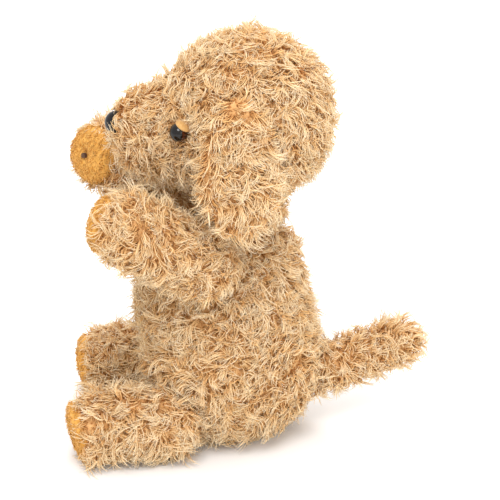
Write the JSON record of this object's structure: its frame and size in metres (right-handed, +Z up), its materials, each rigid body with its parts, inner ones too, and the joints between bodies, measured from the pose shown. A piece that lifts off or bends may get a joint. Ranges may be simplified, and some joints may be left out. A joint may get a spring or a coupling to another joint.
{
  "type": "plush dog",
  "caption": "Sitting stuffed plush dog with shaggy curly fur, velour paw pads, floppy ears, raised arms and a thick tail.",
  "frame": {"origin": "on the floor, under the middle of the torso", "axes": "+Z up, -Y the way the dog faces, +X its left side"},
  "size_m": [0.153, 0.2135, 0.25],
  "materials": {
    "fur": "matte",
    "stuffing": "matte",
    "ear_lining": "matte",
    "pad": "matte",
    "eyelid": "matte",
    "thread": "matte",
    "pouch": "matte",
    "label": "satin",
    "backing": "matte",
    "eye": "gloss",
    "nose": "gloss",
    "washer": "satin",
    "pellets": "satin"
  },
  "bodies": {
    "torso": {"torso_cover": "fur", "torso_stuffing": "stuffing", "bean_pouch": "pouch", "bean_pellets": "pellets", "care_label": "label"},
    "neck": {"neck_cover": "backing", "neck_stuffing": "stuffing"},
    "head": {"head_cover": "fur", "head_stuffing": "stuffing", "muzzle_cover": "fur", "muzzle_stuffing": "stuffing", "left_eye": "eye", "right_eye": "eye", "left_eye_washer": "washer", "right_eye_washer": "washer", "left_eyelid": "eyelid", "right_eyelid": "eyelid", "nose": "nose", "nose_washer": "washer"},
    "left_ear": {"left_ear_outer": "fur", "left_ear_lining": "ear_lining"},
    "right_ear": {"right_ear_outer": "fur", "right_ear_lining": "ear_lining"},
    "left_arm": {"left_arm_cover": "fur", "left_arm_stuffing": "stuffing", "left_palm_pad": "pad", "left_palm_stitch": "thread"},
    "right_arm": {"right_arm_cover": "fur", "right_arm_stuffing": "stuffing", "right_palm_pad": "pad", "right_palm_stitch": "thread"},
    "left_leg": {"left_leg_cover": "fur", "left_leg_stuffing": "stuffing", "left_sole_pad": "pad"},
    "right_leg": {"right_leg_cover": "fur", "right_leg_stuffing": "stuffing", "right_sole_pad": "pad"},
    "tail": {"tail_cover": "fur", "tail_stuffing": "stuffing"}
  },
  "joints": [
    {"name": "head_turn", "type": "hinge", "parent": "torso", "child": "neck", "pos_m": [0, 0.01, 0.147], "axis": [0, 0, 1], "range_deg": [-15, 15], "stiffness_Nm_per_rad": 0.6},
    {"name": "head_nod", "type": "hinge", "parent": "neck", "child": "head", "pos_m": [0, 0.01, 0.147], "axis": [-1, 0, 0], "range_deg": [-12, 12], "stiffness_Nm_per_rad": 0.6},
    {"name": "left_ear_flap", "type": "hinge", "parent": "head", "child": "left_ear", "pos_m": [0.04419, 0.0055, 0.22779], "axis": [0, -1, 0], "range_deg": [0, 70], "stiffness_Nm_per_rad": 0.05},
    {"name": "right_ear_flap", "type": "hinge", "parent": "head", "child": "right_ear", "pos_m": [-0.04419, 0.0055, 0.22779], "axis": [0, 1, 0], "range_deg": [0, 70], "stiffness_Nm_per_rad": 0.05},
    {"name": "left_arm_swing", "type": "hinge", "parent": "torso", "child": "left_arm", "pos_m": [0.04, -0.015, 0.124], "axis": [-1, 0, 0], "range_deg": [-30, 15], "stiffness_Nm_per_rad": 0.2},
    {"name": "right_arm_swing", "type": "hinge", "parent": "torso", "child": "right_arm", "pos_m": [-0.04, -0.015, 0.124], "axis": [-1, 0, 0], "range_deg": [-30, 15], "stiffness_Nm_per_rad": 0.2},
    {"name": "left_leg_lift", "type": "hinge", "parent": "torso", "child": "left_leg", "pos_m": [0.039, -0.037, 0.0223], "axis": [-1, 0, 0], "range_deg": [0, 20], "stiffness_Nm_per_rad": 0.3},
    {"name": "right_leg_lift", "type": "hinge", "parent": "torso", "child": "right_leg", "pos_m": [-0.039, -0.037, 0.0223], "axis": [-1, 0, 0], "range_deg": [0, 20], "stiffness_Nm_per_rad": 0.3},
    {"name": "tail_wag", "type": "hinge", "parent": "torso", "child": "tail", "pos_m": [0, 0.053, 0.034], "axis": [0, 0, 1], "range_deg": [-20, 20], "stiffness_Nm_per_rad": 0.1}
  ]
}
